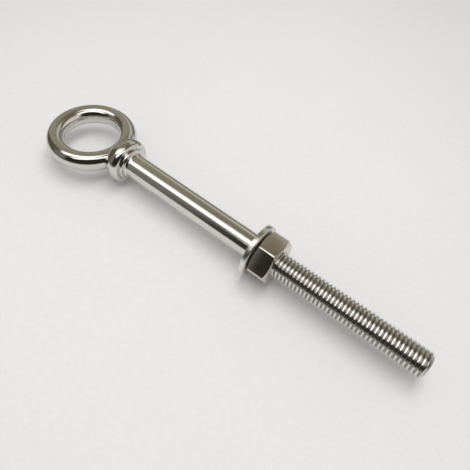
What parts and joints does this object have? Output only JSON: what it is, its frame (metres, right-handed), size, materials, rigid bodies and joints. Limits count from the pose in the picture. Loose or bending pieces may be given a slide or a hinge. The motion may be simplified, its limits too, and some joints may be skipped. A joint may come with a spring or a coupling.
{
  "type": "collared eye bolt",
  "caption": "Long-shank lifting eye bolt with a collar, a plain shank and a threaded end that carries a flat washer and a hexagon nut.",
  "frame": {"origin": "centre of the eye's hole, on the axis of the shank", "axes": "+X along the shank towards the threaded tip, the eye lies in the XY plane, +Z along the axis of the eye's hole"},
  "size_m": [0.1724, 0.0366, 0.0206],
  "materials": {
    "polished_bolt": "mirror-polished stainless steel, fine polishing lines along the shank",
    "washer_steel": "tumbled stainless steel, punched rim",
    "nut_steel": "cold-formed stainless steel, bright corners"
  },
  "bodies": {
    "bolt": {"eye_bolt": "polished_bolt"},
    "washer": {"flat_washer": "washer_steel"},
    "nut": {"hex_nut": "nut_steel"}
  },
  "joints": [
    {"name": "washer_slide", "type": "slide", "parent": "bolt", "child": "washer", "axis": [1, 0, 0], "range_m": [0, 0.0555]},
    {"name": "nut_spin", "type": "hinge", "parent": "washer", "child": "nut", "pos_m": [0.09214, 0, 0], "axis": [1, 0, 0], "range_deg": [0, 13320]}
  ],
  "couplings": [
    {"joint": "washer_slide", "follows": "nut_spin", "m_per_rad": 0.00023873}
  ]
}
